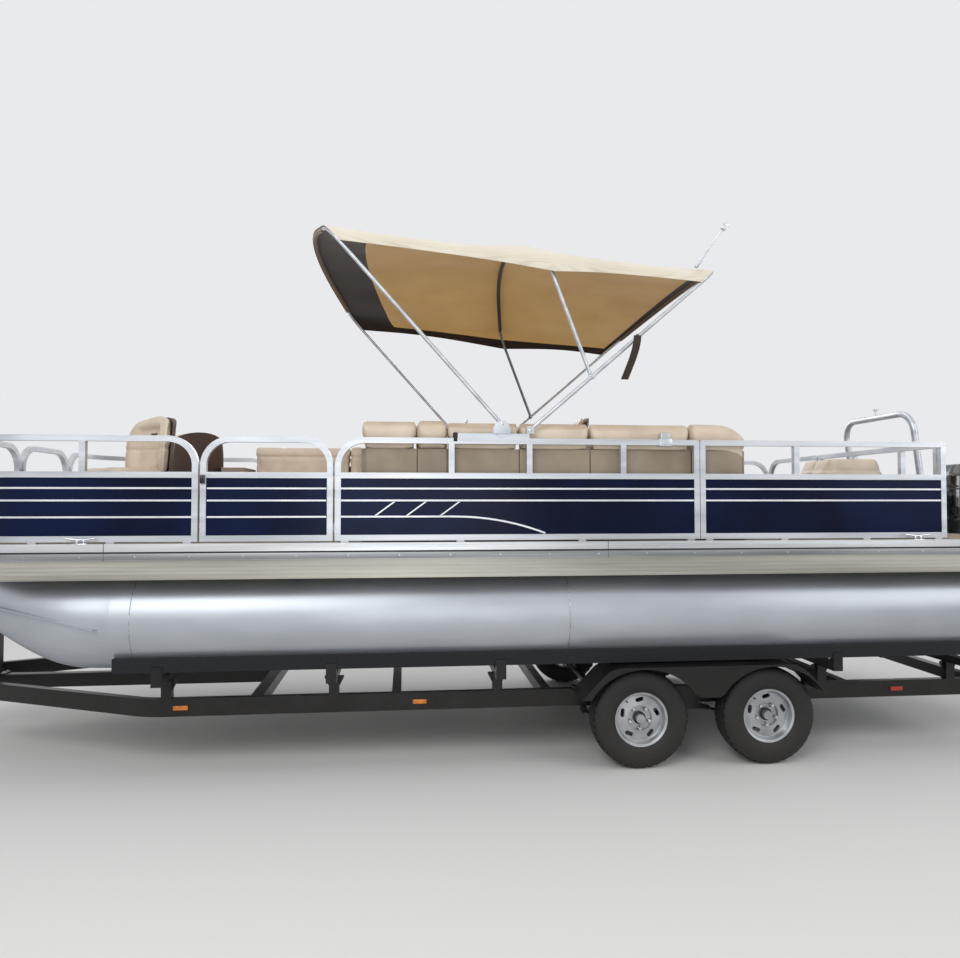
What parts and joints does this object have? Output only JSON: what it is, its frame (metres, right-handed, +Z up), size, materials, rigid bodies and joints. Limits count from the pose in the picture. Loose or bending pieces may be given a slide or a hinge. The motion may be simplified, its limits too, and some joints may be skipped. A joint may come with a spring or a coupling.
{
  "type": "pontoon boat on tandem-axle trailer",
  "caption": "Two-log aluminium pontoon boat with railed deck, canopy, lounges, swivel chairs and tilting outboard, parked on its bunk trailer.",
  "frame": {"origin": "on the ground, under the middle of the whole length and width", "axes": "+X to the bow, +Y to port, +Z up"},
  "size_m": [8.8, 2.59, 3.6501],
  "materials": {
    "trailer_black": "gloss black, road dust",
    "bunk_carpet": "dark carpet",
    "zinc_steel": "zinc plated",
    "tyre_rubber": "dusty black",
    "wheel_silver": "silver paint",
    "log_aluminium": "mill finish, weathered",
    "frame_aluminium": "mill finish",
    "deck_floor": "woven-look floor over board",
    "trim_silver": "satin anodised",
    "skirt_aluminium": "ribbed sheet",
    "fence_tube": "satin anodised",
    "panel_navy": "gloss navy",
    "stripe_silver": "satin silver",
    "seat_shell": "moulded, greige",
    "seat_vinyl": "beige vinyl with seams",
    "chair_vinyl": "beige and brown vinyl",
    "console_shell": "moulded",
    "wheel_grip": "soft black",
    "motor_black": "gloss black",
    "motor_metal": "satin black",
    "prop_metal": "black",
    "lamp_red": "red lens in a black case",
    "canopy_cloth": "cream woven cloth",
    "canopy_tube": "bright anodised"
  },
  "bodies": {
    "boat_on_trailer": {"axles": "trailer_black", "bimini_base": "canopy_tube", "bimini_canopy": "canopy_cloth", "bimini_rear_bow": "canopy_tube", "bunk_brackets": "zinc_steel", "bunks": "bunk_carpet", "console": "console_shell", "coupler": "zinc_steel", "crossmembers": "frame_aluminium", "deck": "deck_floor", "deck_trim": "trim_silver", "fence_panels": "panel_navy", "fenders": "trailer_black", "leaf_springs": "trailer_black", "lounge_base": "seat_shell", "lounge_cushions": "seat_vinyl", "motor_pod": "log_aluminium", "outboard_bracket": "motor_metal", "panel_stripes": "stripe_silver", "pontoon_port": "log_aluminium", "pontoon_starboard": "log_aluminium", "port_bow_rail": "fence_tube", "port_rail": "fence_tube", "seat_pedestals": "frame_aluminium", "side_skirts": "skirt_aluminium", "ski_tow_bar": "fence_tube", "starboard_bow_rail": "fence_tube", "starboard_rail": "fence_tube", "stern_rail": "fence_tube", "tail_lamps": "lamp_red", "tongue_jack": "zinc_steel", "trailer_crossmembers": "trailer_black", "trailer_rails": "trailer_black", "trailer_tongue": "trailer_black", "winch_post": "trailer_black"},
    "wheel_front_port_body": {"tyre_front_port": "tyre_rubber", "wheel_front_port": "wheel_silver"},
    "wheel_front_starboard_body": {"tyre_front_starboard": "tyre_rubber", "wheel_front_starboard": "wheel_silver"},
    "wheel_rear_port_body": {"tyre_rear_port": "tyre_rubber", "wheel_rear_port": "wheel_silver"},
    "wheel_rear_starboard_body": {"tyre_rear_starboard": "tyre_rubber", "wheel_rear_starboard": "wheel_silver"},
    "swivel": {"outboard_swivel": "motor_metal"},
    "outboard": {"outboard_cowling": "motor_black", "outboard_leg": "motor_metal"},
    "propeller_body": {"propeller": "prop_metal"},
    "steering_wheel": {"helm_wheel": "wheel_grip"},
    "port_gate_body": {"port_gate": "fence_tube", "port_gate_panel": "panel_navy"},
    "bow_gate_body": {"bow_gate": "fence_tube", "bow_gate_panel": "panel_navy"},
    "stern_gate_body": {"stern_gate": "fence_tube", "stern_gate_panel": "panel_navy"},
    "bow_chair_port_body": {"bow_chair_port": "chair_vinyl"},
    "bow_chair_starboard_body": {"bow_chair_starboard": "chair_vinyl"},
    "helm_chair_body": {"helm_chair": "chair_vinyl"},
    "aft_chair_body": {"aft_chair": "chair_vinyl"},
    "front_bow": {"bimini_front_bow": "canopy_tube"},
    "mid_bow": {"bimini_mid_bow": "canopy_tube"}
  },
  "joints": [
    {"name": "wheel_front_port_spin", "type": "hinge", "parent": "boat_on_trailer", "child": "wheel_front_port_body", "pos_m": [-0.858, 1.1275, 0.3135], "axis": [0, 1, 0], "continuous": true},
    {"name": "wheel_front_starboard_spin", "type": "hinge", "parent": "boat_on_trailer", "child": "wheel_front_starboard_body", "pos_m": [-0.858, -1.1275, 0.3135], "axis": [0, 1, 0], "continuous": true},
    {"name": "wheel_rear_port_spin", "type": "hinge", "parent": "boat_on_trailer", "child": "wheel_rear_port_body", "pos_m": [-1.711, 1.1275, 0.3135], "axis": [0, 1, 0], "continuous": true},
    {"name": "wheel_rear_starboard_spin", "type": "hinge", "parent": "boat_on_trailer", "child": "wheel_rear_starboard_body", "pos_m": [-1.711, -1.1275, 0.3135], "axis": [0, 1, 0], "continuous": true},
    {"name": "outboard_tilt", "type": "hinge", "parent": "boat_on_trailer", "child": "swivel", "pos_m": [-3.806, 0, 1.362], "axis": [0, 1, 0], "range_deg": [0, 62]},
    {"name": "outboard_steer", "type": "hinge", "parent": "swivel", "child": "outboard", "pos_m": [-3.896, 0, 1.15], "axis": [0, 0, 1], "range_deg": [-30, 30]},
    {"name": "propeller_spin", "type": "hinge", "parent": "outboard", "child": "propeller_body", "pos_m": [-4.3, 0, 0.592], "axis": [1, 0, 0], "continuous": true},
    {"name": "helm_turn", "type": "hinge", "parent": "boat_on_trailer", "child": "steering_wheel", "pos_m": [-0.10436, -0.8, 2.17009], "axis": [-0.848, 0, 0.5299], "range_deg": [-540, 540]},
    {"name": "port_gate_swing", "type": "hinge", "parent": "boat_on_trailer", "child": "port_gate_body", "pos_m": [1.084, 1.177, 1.72], "axis": [0, 0, -1], "range_deg": [0, 90]},
    {"name": "bow_gate_swing", "type": "hinge", "parent": "boat_on_trailer", "child": "bow_gate_body", "pos_m": [3.302, 0.366, 1.72], "axis": [0, 0, -1], "range_deg": [0, 90]},
    {"name": "stern_gate_swing", "type": "hinge", "parent": "boat_on_trailer", "child": "stern_gate_body", "pos_m": [-2.914, -0.264, 1.72], "axis": [0, 0, 1], "range_deg": [0, 90]},
    {"name": "bow_chair_port_turn", "type": "hinge", "parent": "boat_on_trailer", "child": "bow_chair_port_body", "pos_m": [2.47, 0.78, 1.8], "axis": [0, 0, 1], "continuous": true},
    {"name": "bow_chair_starboard_turn", "type": "hinge", "parent": "boat_on_trailer", "child": "bow_chair_starboard_body", "pos_m": [2.525, -0.78, 1.8], "axis": [0, 0, 1], "continuous": true},
    {"name": "helm_chair_turn", "type": "hinge", "parent": "boat_on_trailer", "child": "helm_chair_body", "pos_m": [-0.72, -0.78, 1.8], "axis": [0, 0, 1], "continuous": true},
    {"name": "aft_chair_turn", "type": "hinge", "parent": "boat_on_trailer", "child": "aft_chair_body", "pos_m": [-2.48, 0.77, 1.8], "axis": [0, 0, 1], "continuous": true},
    {"name": "bimini_front_fold", "type": "hinge", "parent": "boat_on_trailer", "child": "front_bow", "pos_m": [0.042, 0, 2.196], "axis": [0, -1, 0], "range_deg": [0, 88], "deforming": ["bimini_canopy"]},
    {"name": "bimini_mid_fold", "type": "hinge", "parent": "boat_on_trailer", "child": "mid_bow", "pos_m": [-0.55, 0, 2.5136], "axis": [0, -1, 0], "range_deg": [0, 63]}
  ],
  "couplings": [
    {"joint": "helm_turn", "follows": "outboard_steer", "ratio": 18},
    {"joint": "bimini_mid_fold", "follows": "bimini_front_fold", "ratio": 0.716}
  ]
}
